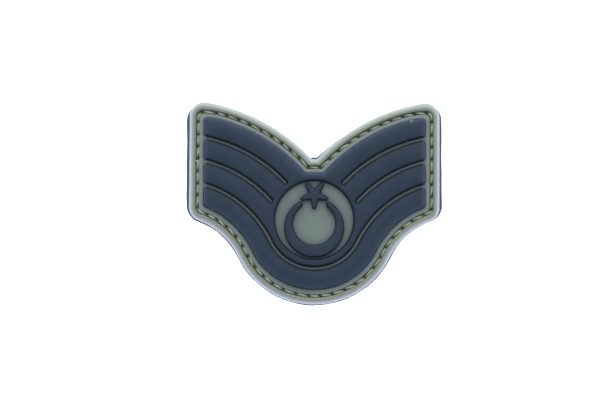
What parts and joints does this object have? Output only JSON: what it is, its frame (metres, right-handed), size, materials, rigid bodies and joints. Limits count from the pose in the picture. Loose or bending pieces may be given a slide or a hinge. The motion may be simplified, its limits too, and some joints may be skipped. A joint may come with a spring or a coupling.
{
  "type": "pvc rank patch",
  "caption": "Soft moulded uniform patch: navy raised curved chevrons round a star and crescent medallion on an olive sewn base, backed with hook tape.",
  "frame": {"origin": "On the medallion's axis, at the tips of the hooks, which is the plane that the patch rests on or fastens by.", "axes": "+Z out of the patch's face, +X to the wearer's left as the picture's right, +Y up the patch towards the notch."},
  "size_m": [0.065, 0.0521, 0.0038],
  "materials": {
    "olive_pvc": "soft satin moulded PVC, grey olive green",
    "navy_pvc": "soft satin moulded PVC, dark navy blue",
    "hook_tape": "woven nylon hook tape, blue black",
    "thread": "twisted polyester sewing thread, olive green"
  },
  "bodies": {
    "root": {"pvc_base": "olive_pvc", "upper_chevrons": "navy_pvc", "lower_chevron": "navy_pvc", "star": "navy_pvc", "crescent": "navy_pvc", "hook_backing": "hook_tape"}
  },
  "joints": []
}
